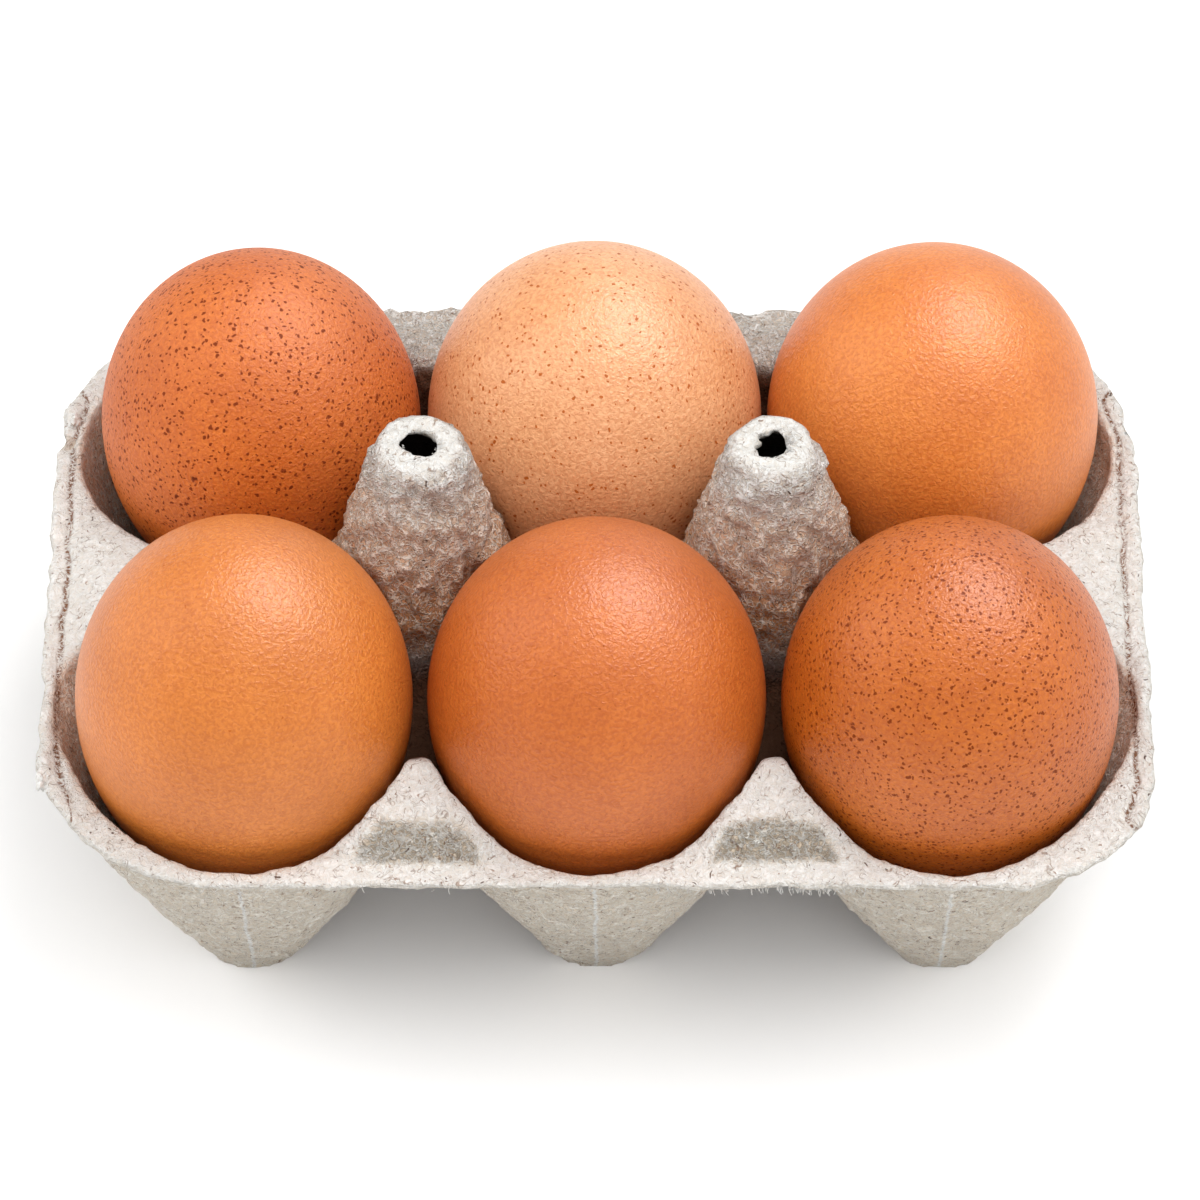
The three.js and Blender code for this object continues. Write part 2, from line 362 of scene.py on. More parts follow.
def land_height(x, y):
    """Height of the land that the cells are sunk into, without the posts."""
    peaks = 1 - smooth_step(np.abs(np.abs(x) - COLUMN_PITCH / 2), PEAK_FLAT, PEAK_FOOT)
    rows = 1 - smooth_step(np.abs(y), ROW_FLAT, ROW_FOOT)
    peak_rise = peaks * (rounded(np.abs(y), PEAK_PLACES, PEAK_HEIGHTS, 1.3) - RIM_HEIGHT)
    row_rise = rows * (rounded(np.abs(x), ROW_PLACES, ROW_HEIGHTS, 1.8) - RIM_HEIGHT)
    return RIM_HEIGHT + peak_rise * (1 - peaks * rows) + row_rise


def underside_height(x, y):
    """The same land seen from below: a ball of the sheet's thickness rolled along under it."""
    height = land_height(x, y) - PULP
    for reach in (0.5, 0.85, 1.0):
        drop = PULP * math.sqrt(1 - reach * reach)
        for turn in range(12):
            angle = turn * math.tau / 12
            beside = land_height(x + PULP * reach * math.cos(angle), y + PULP * reach * math.sin(angle))
            height = np.minimum(height, beside - drop)
    return height


def inside_outline(x, y):
    """How far a point lies inside the tray's outline as seen from above."""
    corner = np.where(y > 0, BACK_CORNER, np.where(x > 0, FRONT_RIGHT_CORNER, FRONT_LEFT_CORNER))
    over_x = np.abs(x) - (HALF_LENGTH - EDGE_WANDER - corner)
    over_y = np.abs(y) - (HALF_DEPTH - EDGE_WANDER - corner)
    outside = np.hypot(np.maximum(over_x, 0), np.maximum(over_y, 0))
    return corner - outside - np.minimum(np.maximum(over_x, over_y), 0)


def corners_of(mesh):
    """The mesh's vertices as an array, one row each."""
    places = np.empty(len(mesh.vertices) * 3)
    mesh.vertices.foreach_get("co", places)
    return places.reshape(-1, 3)


def put_corners(mesh, places):
    mesh.vertices.foreach_set("co", places.astype(np.float32).ravel())
    mesh.update()


def linked(name, mesh):
    item = bpy.data.objects.new(name, mesh)
    bpy.context.scene.collection.objects.link(item)
    return item


def from_bmesh(name, bm):
    """Closes the bmesh with its faces outwards and puts it in the scene."""
    bmesh.ops.remove_doubles(bm, verts=bm.verts, dist=1e-4)
    bmesh.ops.recalc_face_normals(bm, faces=bm.faces)
    mesh = bpy.data.meshes.new(name)
    bm.to_mesh(mesh)
    bm.free()
    return linked(name, mesh)


def turned(name, radii, heights, sides):
    """A closed shape turned round +Z from radii at heights, read upwards, with flat ends."""
    bm = bmesh.new()
    profile = [(0.0, heights[0])] + list(zip(radii, heights)) + [(0.0, heights[-1])]
    chain = [bm.verts.new((radius, 0.0, height)) for radius, height in profile]
    edges = [bm.edges.new(pair) for pair in zip(chain, chain[1:])]
    bmesh.ops.spin(bm, geom=chain + edges, axis=(0, 0, 1), angle=math.tau, steps=sides, use_merge=True)
    return from_bmesh(name, bm)


def baked(item):
    """Applies the object's modifiers to its own mesh."""
    depsgraph = bpy.context.evaluated_depsgraph_get()
    mesh = bpy.data.meshes.new_from_object(item.evaluated_get(depsgraph))
    item.modifiers.clear()
    item.data = mesh
    return item


def worked(item, operation, tools):
    """Joins tools to a solid or cuts them out of it, and clears the tools away."""
    for tool in tools:
        step = item.modifiers.new(tool.name, "BOOLEAN")
        step.operation = operation
        step.solver = "MANIFOLD"
        step.object = tool
    baked(item)
    for tool in tools:
        bpy.data.objects.remove(tool)
    return item


# Parts of the tray

def land_block(name, height, base):
    """Everything below a surface of heights, down to a flat base."""
    half_x = HALF_LENGTH + CLEAR_OF_TRAY
    half_y = HALF_DEPTH + CLEAR_OF_TRAY
    bm = bmesh.new()
    bmesh.ops.create_grid(bm, x_segments=round(2 * half_x / LAND_STEP),
                          y_segments=round(2 * half_y / LAND_STEP), size=1.0)
    bmesh.ops.scale(bm, vec=(half_x, half_y, 1.0), verts=bm.verts)
    top = list(bm.verts)
    heights = height(np.array([v.co.x for v in top]), np.array([v.co.y for v in top]))
    under = bmesh.ops.extrude_face_region(bm, geom=bm.faces[:])["geom"]
    for vert in under:
        if isinstance(vert, bmesh.types.BMVert):
            vert.co.z = base
    for vert, level in zip(top, heights):
        vert.co.z = level
    return from_bmesh(name, bm)


def outline_block():
    """The tray's outline from above, pulled up: a rectangle with its corners rounded one by one."""
    half_x = HALF_LENGTH - EDGE_WANDER
    half_y = HALF_DEPTH - EDGE_WANDER
    bm = bmesh.new()
    bmesh.ops.create_grid(bm, x_segments=1, y_segments=1, size=1.0)
    bmesh.ops.scale(bm, vec=(half_x, half_y, 1.0), verts=bm.verts)
    sharp = {(1, 1): BACK_CORNER, (-1, 1): BACK_CORNER,
             (1, -1): FRONT_RIGHT_CORNER, (-1, -1): FRONT_LEFT_CORNER}
    for (right, back), radius in sharp.items():
        corner = min(bm.verts, key=lambda v: (v.co - Vector((right * half_x, back * half_y, 0))).length)
        bmesh.ops.bevel(bm, geom=[corner], offset=radius, affect="VERTICES", segments=32,
                        profile=0.5, material=-1)
    walls = bmesh.ops.extrude_face_region(bm, geom=bm.faces[:])["geom"]
    bmesh.ops.translate(bm, vec=(0, 0, WELL_ABOVE),
                        verts=[v for v in walls if isinstance(v, bmesh.types.BMVert)])
    return from_bmesh("outline", bm)


def cell_line(margin):
    """Radii and heights up a cell's wall, moved outwards by a margin square to its slope."""
    heights = np.arange(PULP, CELL_HEIGHTS[-1] + CELL_STEP, CELL_STEP)
    radii = rounded(heights, CELL_HEIGHTS, CELL_RADII, 1.5)
    slope = np.arctan2(np.gradient(heights), np.gradient(radii))
    return radii + margin * np.sin(slope), heights - margin * np.cos(slope)


def stretch_at(height):
    return FOOT_STRETCH * np.maximum(0, 1 - height / RIM_HEIGHT)


def wall_outwards(x, y, cosine, sine):
    """How far the wall of the cell at x and y stands out in each direction, at the height of the rim."""
    reach = np.where(y < 0, FRONT_BULGE[0], BACK_BULGE[0]) * np.abs(np.sign(x))
    turn = np.radians(np.where(y < 0, FRONT_BULGE[1], BACK_BULGE[1]))
    towards_side = sine * np.sign(y)
    on_bulge = cosine * np.sign(x) * np.cos(turn) - towards_side * np.sin(turn)
    bulge = reach * np.maximum(0, on_bulge) ** FLARE_TAPER
    return bulge + SIDE_FLARE * np.maximum(0, towards_side) ** FLARE_TAPER


def flare_at(height):
    return smooth_step(height, FLARE_FOOT, RIM_HEIGHT)


def cell_block(x, y, margin):
    """One cell's hollow, or with a margin the outside of its cup: round at the rim, squarer at the foot."""
    radii, heights = cell_line(margin)
    if margin > 0:
        kept = heights > 0.4
        radii = np.concatenate([[radii[0], radii[0]], radii[kept], [radii[-1]]])
        heights = np.concatenate([[-1.0, 0.0], heights[kept], [WELL_ABOVE]])
    else:
        radii = np.append(radii, radii[-1])
        heights = np.append(heights, WELL_ABOVE)
    block = turned("cell", radii, heights, CELL_SIDES)
    places = corners_of(block.data)
    radius = np.hypot(places[:, 0], places[:, 1])
    cosine = places[:, 0] / np.maximum(radius, 1e-6)
    sine = places[:, 1] / np.maximum(radius, 1e-6)
    height = places[:, 2]
    power = 2 + (FOOT_SQUARENESS - 2) * np.clip(1 - height / RIM_HEIGHT, 0, 1)
    square = np.where(radius > 1e-3,
                      (np.abs(cosine) ** power + np.abs(sine) ** power + 1e-12) ** (-1 / power), 0)
    outwards = wall_outwards(x, y, cosine, sine) * flare_at(height)
    away = radius > 1e-3
    places[:, 0] = np.where(away, (radius * square + outwards) * cosine, 0) + x
    places[:, 1] = np.where(away, ((radius + stretch_at(height)) * square + outwards) * sine, 0) + y
    put_corners(block.data, places)
    return block


def post_block(x, margin):
    """A post between four cells, or with a margin the space inside it."""
    depths = np.arange(POST_DEPTHS[-1], 0, -1.0)
    radii = np.append(rounded(depths, POST_DEPTHS, POST_RADII, 1.0), POST_RADII[0]) - margin
    heights = POST_HEIGHT - np.append(depths, 0.0) - margin
    base = -1.0 if margin > 0 else 0.0
    block = turned("post", np.insert(radii, 0, radii[0]), np.insert(heights, 0, base), POST_SIDES)
    block.data.transform(Matrix.Translation((x, 0, 0)))
    return block


def hole_block(x):
    """A ragged hole punched through a post's top, wider below, so that its lip is thin."""
    heights = np.linspace(POST_HEIGHT - HOLE_DEPTH, POST_HEIGHT + HOLE_ABOVE, HOLE_STEPS)
    radii = HOLE_RADIUS + LIP_SLOPE * np.clip(POST_HEIGHT - LIP - heights, 0, PULP)
    block = turned("hole", radii, heights, HOLE_SIDES)
    places = corners_of(block.data)
    for i, place in enumerate(places):
        seat = Vector((x, 0, 0)) + Vector(place)
        ragged = sum(share * noise.noise(seat * turns) for share, turns in HOLE_RAGGED)
        places[i, :2] *= 1 + ragged
    places[:, 0] += x
    put_corners(block.data, places)
    return block


def moulded_tray():
    """Everything below the tray's upper face, less everything below its lower face."""
    posts = (-COLUMN_PITCH / 2, COLUMN_PITCH / 2)
    cells = [(column * COLUMN_PITCH, row * ROW_PITCH / 2) for column in (-1, 0, 1) for row in (-1, 1)]
    upper = land_block("upper", land_height, 0.0)
    worked(upper, "INTERSECT", [outline_block()])
    worked(upper, "UNION", [post_block(x, 0.0) for x in posts])
    worked(upper, "DIFFERENCE", [cell_block(x, y, 0.0) for x, y in cells])
    lower = land_block("lower", underside_height, -1.0)
    worked(lower, "UNION", [post_block(x, PULP) for x in posts])
    worked(lower, "DIFFERENCE", [cell_block(x, y, PULP) for x, y in cells])
    worked(upper, "DIFFERENCE", [lower])
    worked(upper, "DIFFERENCE", [hole_block(x) for x in posts])
    even = upper.modifiers.new("even", "REMESH")
    even.mode = "VOXEL"
    even.voxel_size = VOXEL
    soft = upper.modifiers.new("soft", "SMOOTH")
    soft.factor = 0.5
    soft.iterations = 3
    return baked(upper)


def noise_at(places, grain, seed):
    """Smooth noise from -1 to 1 at each place, with features about a grain apart, in millimetres."""
    shift = Vector((seed * 17.3, seed * 5.9, seed * 11.1))
    return np.array([noise.noise(Vector(place) / grain + shift) for place in places])


def drift_at(places, grain, seed):
    """Smooth noise of three parts, to move points by. Its offsets are drawn from the seed."""
    noise.seed_set(seed)
    shift = Vector((seed * 7.7, seed * 13.1, seed * 3.3))
    return np.array([noise.noise_vector(Vector(place) / grain + shift) for place in places])


def normals_of(mesh):
    normals = np.empty(len(mesh.vertices) * 3)
    mesh.vertex_normals.foreach_get("vector", normals)
    return normals.reshape(-1, 3)


def from_cells(places):
    """How far each place lies outside its own cell's wall, less than zero in the hollow."""
    column = np.clip(np.round(places[:, 0] / COLUMN_PITCH), -1, 1) * COLUMN_PITCH
    row = np.sign(places[:, 1]) * ROW_PITCH / 2
    across = places[:, 0] - column
    along = places[:, 1] - row
    along = np.sign(along) * np.maximum(0, np.abs(along) - 0.4 * stretch_at(places[:, 2]))
    distance = np.maximum(np.hypot(across, along), 1e-6)
    radii, heights = cell_line(0.0)
    outwards = wall_outwards(column, row, across / distance, along / distance) * flare_at(places[:, 2])
    return distance - np.interp(places[:, 2], heights, radii) - outwards


def put_in_box(mesh, places):
    """Moves the mesh's points to places, but none of them past the solid tray's box."""
    put_corners(mesh, np.clip(places, np.array(tray_low) / MM, np.array(tray_high) / MM))


def thinned(tray, most):
    """Drops points where the tray is nearly flat, until a number of triangles is left."""
    tray.data.calc_loop_triangles()
    fewer = tray.modifiers.new("fewer", "DECIMATE")
    fewer.ratio = most / len(tray.data.loop_triangles)
    baked(tray)
    put_in_box(tray.data, corners_of(tray.data))


def weigh(mesh, name, weights):
    """Keeps one number for each point, for a material to read."""
    mesh.attributes.new(name, "FLOAT", "POINT").data.foreach_set("value", weights.astype(np.float32))


def tray_zones(places, normals):
    """Which part of the tray each point is on, as weights from 0 to 1, and its distance in
    millimetres from the lines drawn there."""
    x, y, z = places.T
    zone = SimpleNamespace()
    zone.inside = inside_outline(x, y)
    zone.below_land = land_height(x, y) - z
    zone.outside_cell = from_cells(places)
    zone.beside_post = np.abs(np.abs(x) - COLUMN_PITCH / 2)
    zone.lumps = noise_at(places, 2.4, 1) + 0.6 * noise_at(places, 1.2, 2)
    to_post = np.hypot(zone.beside_post, y)

    # The cells' hollows, the inside of the posts, and all that is under the sheet
    zone.hollow = smooth_step(-zone.outside_cell, *IN_HOLLOW) * smooth_step(z, 1.0, 3.0)
    post_radius = np.interp(POST_HEIGHT - z, POST_DEPTHS, POST_RADII)
    zone.in_post = smooth_step(post_radius - to_post, *INSIDE_POST)
    zone.in_post *= 1 - smooth_step(z, POST_HEIGHT - 1.2, POST_HEIGHT - 0.7)
    zone.under = np.maximum(smooth_step(zone.below_land, *BELOW_LAND), zone.in_post)
    zone.under *= smooth_step(zone.outside_cell, *OUTSIDE_CUP)

    # The posts' flanks, which take painted shade and brown painted bounce light from the eggs, their crumpled
    # sides, and the lands at the back
    zone.flank = smooth_step(z, *FLANK_FOOT) * (1 - smooth_step(z + zone.lumps, *FLANK_TOP))
    zone.flank *= 1 - smooth_step(to_post, *FLANK_REACH)
    zone.on_post = smooth_step(z, *POST_FOOT) * (1 - smooth_step(z, *POST_SHOULDER))
    zone.on_post *= 1 - smooth_step(to_post, *POST_REACH)
    zone.behind = smooth_step(y, *BEHIND_FROM) * (1 - smooth_step(zone.beside_post, *BEHIND_REACH))
    zone.behind *= smooth_step(z, *BEHIND_FOOT)
    zone.flank *= 1 - zone.under
    zone.on_post *= 1 - zone.under
    zone.behind *= 1 - zone.under

    steep = 1 - smooth_step(np.abs(normals[:, 2]), 0.45, 0.95)
    zone.rough = np.clip(0.2 + 0.6 * steep * (1 - zone.hollow) + 0.8 * zone.on_post + 0.8 * zone.behind, 0, 1)

    # The fold just inside the left and right ends, and the bead along their rim
    zone.ends = smooth_step(np.abs(x), *ENDS_FROM) * smooth_step(normals[:, 2], -0.2, 0.3)
    zone.ends *= 1 - smooth_step(np.abs(y + 3), *ENDS_REACH)
    zone.fold_side = zone.inside - FOLD_INSIDE - 0.5 * noise_at(places * (0, 1, 0), 6.0, 3)
    zone.fold = np.exp(-(zone.fold_side / 0.45) ** 2) * zone.ends
    zone.bead = np.exp(-((zone.inside - 0.7) / 0.8) ** 2) * zone.ends

    # The mould line down the outer face of each foot
    column = np.clip(np.round(x / COLUMN_PITCH), -1, 1) * COLUMN_PITCH
    zone.rib_side = x - column + 0.25 * noise_at(places * (0, 0, 1), 5.0, 6)
    zone.faces_out = zone.under * smooth_step(normals[:, 1] * np.sign(y), 0.2, 0.5)
    zone.faces_out *= 1 - smooth_step(z, 37.5, 38.5)
    zone.rib = np.exp(-(zone.rib_side / 0.5) ** 2) * zone.faces_out
    return zone


def rise_of(places, zone):
    """How far each point of the tray is raised square to its face."""
    x, y, z = places.T
    rise = zone.lumps * (LUMPS_ALL + LUMPS_ROUGH * zone.rough + LUMPS_POST * zone.on_post)
    rise = rise + FELT * noise_at(places, 1.7, 4)
    rise = rise - FOLD_DEPTH * zone.fold + BEAD_PROUD * zone.bead + RIB_PROUD * zone.rib
    rise += BACK_LUMPS * zone.behind * noise_at(places, 3.4, 5)
    drawn_out = places * (1, 1, 0.6)
    crumpled = 0.3 - np.abs(noise_at(drawn_out, 2.6, 7)) - 0.5 * np.abs(noise_at(drawn_out, 1.4, 8))
    rise += CRUMPLE * (zone.on_post + 0.8 * zone.behind) * crumpled
    for (at_x, at_y), reach, height in LUMPS:
        near = np.exp(-(np.hypot(x - at_x, y - at_y) / reach) ** 2) * smooth_step(z, 37, 39)
        rise += height * near * (1 + 0.5 * zone.lumps)
    return rise


def weigh_tints(mesh, places, normals, zone):
    """Keeps the weights and distances that the pulp's material tints by."""
    x, y, z = places.T
    upper = 1 - zone.under

    # Painted shade: the narrow places between neighbouring eggs, the cells' floors, and the underside
    gully = smooth_step(np.abs(y), *GULLY_FROM)
    gully *= 1 - smooth_step(np.abs(y) + 0.5 * zone.lumps, *GULLY_TO)
    gully *= (1 - smooth_step(zone.beside_post, *GULLY_REACH)) * upper
    gully *= np.where(np.abs(y) < 20, 1 - smooth_step(z + 1.2 * zone.lumps, *GULLY_TOP), 1.0)
    pit = zone.hollow * (1 - smooth_step(z, 18, 33))
    to_side = normals[:, 0] * np.sign(x) * smooth_step(np.abs(x), 48, 56)
    open_side = np.maximum(normals[:, 1] * np.sign(y), to_side)
    shut_in = zone.under * (1 - smooth_step(open_side, 0.0, 0.5)) * (1 - 0.4 * smooth_step(z, 30, 38))
    weigh(mesh, "painted_shade", np.clip(gully + 0.8 * pit + 0.5 * shut_in, 0, 1))
    # Painted shade: the top of each post's inside is nearly blackened
    weigh(mesh, "dark", zone.in_post * smooth_step(z, 52, 62))

    # Painted shade and brown painted bounce light from the eggs: on the posts' flanks, in the cells' hollows,
    # and a little on the lands at the back
    painted_flank_shade = zone.flank * (0.45 + 0.5 * (1 - smooth_step(z, 46, 60)))
    painted_hollow_shade = 0.55 * zone.hollow * (1 - smooth_step(z, 39, 41.5))
    weigh(mesh, "brown", np.clip(painted_hollow_shade + painted_flank_shade + 0.1 * zone.behind, 0, 1))
    weigh(mesh, "rough", 0.2 + 0.5 * zone.rough)
    weigh(mesh, "foot", 0.9 * zone.under)
    torn = np.exp(-(np.maximum(zone.inside, 0) / 0.5) ** 2) * (1 - smooth_step(normals[:, 2], 0.4, 0.8))
    weigh(mesh, "torn", 0.75 * torn)

    dome = (BAND[1] - BAND[0]) * (1 - (zone.beside_post / BAND_HALF) ** 5)
    band = smooth_step(0.4 * zone.lumps - y - BAND[1] + dome, -0.8, 1.4)
    band *= smooth_step(BAND[1] + y + 0.4 * zone.lumps, -0.5, 0.4)
    weigh(mesh, "coarse", band * smooth_step(z, 39.5, 40) * upper)

    # Distances in millimetres, which a material can cut to a sharp line
    brim = np.abs(zone.outside_cell) + np.maximum(0, zone.below_land)
    weigh(mesh, "brim", brim + 4 * zone.under + 4 * (1 - smooth_step(z, 30, 34)))
    weigh(mesh, "fold", zone.fold_side + 6 * (1 - zone.ends))
    weigh(mesh, "rib", np.where(zone.faces_out > 0.4, zone.rib_side, 9.0))


def roughen(tray):
    """Gives the tray the wander, ragged edges and felted lumps of real pulp, and the weights
    for its tints."""
    mesh = tray.data
    places = corners_of(mesh)
    normals = normals_of(mesh)
    z = places[:, 2]
    zone = tray_zones(places, normals)
    moved = places + normals * rise_of(places, zone)[:, None]
    at_edge = 1 - smooth_step(zone.inside, 0.5, 4)
    for distance, grain, seed in WANDERS:
        moved += distance * drift_at(places, grain, seed)
    fine = FINE_WANDER + EDGE_FINE_WANDER * at_edge + POST_FINE_WANDER * zone.on_post
    moved += fine[:, None] * drift_at(places, 3.6, 2)

    # The rim is pinched thin where the sheet was trimmed
    pinched = (1 - smooth_step(zone.inside, 0.3, 2.5)) * (1 - smooth_step(normals[:, 2], -0.6, 0.4))
    moved[:, 2] += RIM_PINCH * pinched * smooth_step(z, 30, 36)
    moved[:, 2] = np.where(z < 1.5, np.maximum(z * 0.999, 0), moved[:, 2])
    put_in_box(mesh, moved)
    weigh_tints(mesh, places, normals, zone)


def soft_line(tree, distance, width):
    """A soft line from 0 to 1 where a signed distance crosses zero."""
    size = add(tree, "ShaderNodeMath", {"operation": "ABSOLUTE"}, {0: distance})
    span = {"interpolation_type": "SMOOTHSTEP", "From Min": width, "From Max": 0.2 * width}
    return add(tree, "ShaderNodeMapRange", span, {"Value": size})


def strands(tree, vector, seed, scale, width):
    """Curly strands: lines where a slow noise crosses its middle."""
    field = add(tree, "ShaderNodeTexNoise",
                {"noise_dimensions": "4D", "W": seed, "Scale": scale, "Detail": 0.0}, {"Vector": vector})
    off = add(tree, "ShaderNodeMath", {"operation": "SUBTRACT", 1: 0.5}, {0: field})
    return soft_line(tree, off, width)


def curled_grid(tree, grid, scale, pull):
    """The grid pushed about by a noise, so that what is drawn on it curls."""
    warp = add(tree, "ShaderNodeTexNoise", {"Scale": scale, "Detail": 1.0}, {"Vector": grid})
    centred = add(tree, "ShaderNodeVectorMath", {"operation": "SUBTRACT", 1: (0.5, 0.5, 0.5)},
                  {0: warp.outputs["Color"]})
    pulled = add(tree, "ShaderNodeVectorMath", {"operation": "SCALE", "Scale": pull}, {0: centred})
    return add(tree, "ShaderNodeVectorMath", {"operation": "ADD"}, {0: grid, 1: pulled})


def speckled(tree, vector, colour, spacing, size, share, tint, strength):
    """Lays small uneven dots over a colour: balls scattered through space, cut by the surface.
    It gives the colour, and where the dots are."""
    cells = add(tree, "ShaderNodeTexVoronoi", {"Scale": 1 / spacing}, {"Vector": vector})
    chance = add(tree, "ShaderNodeSeparateColor", {}, {"Color": cells.outputs["Color"]})
    there = add(tree, "ShaderNodeMath", {"operation": "LESS_THAN", 1: share}, {0: chance.outputs["Red"]})
    widths = {"To Min": 0.25 * size / spacing, "To Max": 0.55 * size / spacing}
    reach = add(tree, "ShaderNodeMapRange", widths, {"Value": chance.outputs["Green"]})
    inner = add(tree, "ShaderNodeMath", {"operation": "MULTIPLY", 1: 0.6}, {0: reach})
    dot = add(tree, "ShaderNodeMapRange", {"interpolation_type": "SMOOTHSTEP", "To Max": strength},
              {"Value": cells.outputs["Distance"], "From Min": reach, "From Max": inner})
    shown = add(tree, "ShaderNodeMath", {"operation": "MULTIPLY", "use_clamp": True}, {0: dot, 1: there})
    dotted = add(tree, "ShaderNodeMix", {"data_type": "RGBA", MIX_B: linear(tint)},
                 {"Factor": shown, MIX_A: colour})
    return dotted, shown


def moulded_pulp():
    """Moulded pulp: wastepaper drained on a wire mould and dried. It is dull and felted,
    warm grey, with curled pale and brown fibres and dark specks. Painted shade and brown painted
    bounce light make it browner where steep and in the cells, and painted shade darkens where the eggs shut
    it in."""
    material, tree, grid = new_material("moulded_pulp")
    weight = {name: add(tree, "ShaderNodeAttribute", {"attribute_name": name}).outputs["Fac"]
              for name in LOOSE_WEIGHTS}
    curled = curled_grid(tree, grid, 0.55, 3.2)
    close = curled_grid(tree, grid, 1.3, 0.9)
    felt = add(tree, "ShaderNodeTexNoise", {"Scale": 1.7, "Detail": 5.0, "Roughness": 0.7},
               {"Vector": curled})
    tone = add(tree, "ShaderNodeMapRange", {"From Min": 0.3, "From Max": 0.7}, {"Value": felt})
    uneven = add(tree, "ShaderNodeMapRange", {"From Min": 0.35, "From Max": 0.65, "To Min": 0.4},
                 {"Value": felt})
    blotch = add(tree, "ShaderNodeTexNoise", {"Scale": 0.13, "Detail": 3.0}, {"Vector": grid})
    patch = add(tree, "ShaderNodeMapRange", {"From Min": 0.35, "From Max": 0.7, "To Max": 0.4},
                {"Value": blotch})

    # Matted strands stand up from the gaps between them
    matted = add(tree, "ShaderNodeMapRange", {"From Min": 0.48, "From Max": 0.78}, {"Value": felt})
    for seed, scale, width in MATTED:
        matted = add(tree, "ShaderNodeMath", {"operation": "MAXIMUM"},
                     {0: matted, 1: strands(tree, close, seed, scale, width)})
    gaps = add(tree, "ShaderNodeMath", {"operation": "SUBTRACT", 0: 1.0}, {1: matted})

    # The steep slope that lay on the wire, with an uneven edge
    worn = add(tree, "ShaderNodeMapRange", {"From Min": 0.3, "From Max": 0.55, "To Min": 0.5},
               {"Value": felt})
    wire = add(tree, "ShaderNodeMath", {"operation": "MULTIPLY", "use_clamp": True},
               {0: weight["coarse"], 1: worn})
    brim = soft_line(tree, weight["brim"], BRIM_WIDTH)
    fold = soft_line(tree, weight["fold"], FOLD_WIDTH)
    rib = soft_line(tree, weight["rib"], RIB_WIDTH)
    broken = add(tree, "ShaderNodeMapRange", {"From Min": 0.44, "From Max": 0.56}, {"Value": felt})

    # Each tint: where it lies, what breaks it up there, its colour, and how it is laid
    colour = add(tree, "ShaderNodeMix",
                 {"data_type": "RGBA", MIX_A: linear(PULP_DARK), MIX_B: linear(PULP_LIGHT)}, {"Factor": tone})
    tints = [
        (patch, None, PULP_PATCH, "MIX"),
        (weight["foot"], None, FOOT_TINT, "MULTIPLY"),
        (wire, None, WIRE_GROUND, "MULTIPLY"),
        (wire, gaps, WIRE_GAPS, "MULTIPLY"),
        (weight["rough"], gaps, ROUGH_GAPS, "MULTIPLY"),
        # Painted shade and brown painted bounce light from the eggs
        (weight["brown"], gaps, PAINTED_BOUNCE_GAPS, "MULTIPLY"),
        (weight["brown"], uneven, PAINTED_BOUNCE_TINT, "MULTIPLY"),
        (brim, uneven, BRIM_TINT, "MULTIPLY"),
        (fold, broken, FOLD_TINT, "MULTIPLY"),
        (rib, uneven, PULP_LIGHT, "MIX"),
    ]
    threads = None
    for seed, scale, width, tint, strength in FIBRES:
        settings = {"noise_dimensions": "4D", "W": seed + 0.5, "Scale": 0.8, "Detail": 1.0}
        breaks = add(tree, "ShaderNodeTexNoise", settings, {"Vector": grid})
        shown = add(tree, "ShaderNodeMapRange", {"From Min": 0.5, "From Max": 0.62, "To Max": strength},
                    {"Value": breaks})
        fibre = add(tree, "ShaderNodeMath", {"operation": "MULTIPLY", "use_clamp": True},
                    {0: strands(tree, curled, seed, scale, width), 1: shown})
        tints.append((fibre, None, tint, "MIX"))
        threads = fibre if threads is None else add(tree, "ShaderNodeMath", {"operation": "MAXIMUM"},
                                                    {0: threads, 1: fibre})
    for factor, breaker, tint, blend in tints:
        if breaker:
            factor = add(tree, "ShaderNodeMath", {"operation": "MULTIPLY", "use_clamp": True},
                         {0: factor, 1: breaker})
        colour = add(tree, "ShaderNodeMix", {"data_type": "RGBA", "blend_type": blend, MIX_B: linear(tint)},
                     {"Factor": factor, MIX_A: colour})
    for spacing, size, share, tint, strength in PULP_SPECKS:
        colour, _ = speckled(tree, curled, colour, spacing, size, share, tint, strength)

    # The torn rim shows its layers as thin level lines
    squash = add(tree, "ShaderNodeVectorMath", {"operation": "MULTIPLY", 1: (0.5, 0.5, 5.5)}, {0: grid})
    layers = add(tree, "ShaderNodeTexNoise", {"Scale": 1.0, "Detail": 3.0}, {"Vector": squash})
    layers = add(tree, "ShaderNodeMapRange", {"From Min": 0.42, "From Max": 0.58}, {"Value": layers})
    edge = add(tree, "ShaderNodeMix",
               {"data_type": "RGBA", MIX_A: linear(TORN_DARK), MIX_B: linear(TORN_LIGHT)}, {"Factor": layers})
    colour = add(tree, "ShaderNodeMix", {"data_type": "RGBA"},
                 {"Factor": weight["torn"], MIX_A: colour, MIX_B: edge})

    # Painted shade: darker where the eggs shut the pulp in, and near black at the top of each post's inside
    for factor, tint in ((weight["painted_shade"], PAINTED_SHADE_TINT), (weight["dark"], PAINTED_POST_SHADE)):
        colour = add(tree, "ShaderNodeMix",
                     {"data_type": "RGBA", "blend_type": "MULTIPLY", MIX_B: linear(tint)},
                     {"Factor": factor, MIX_A: colour})

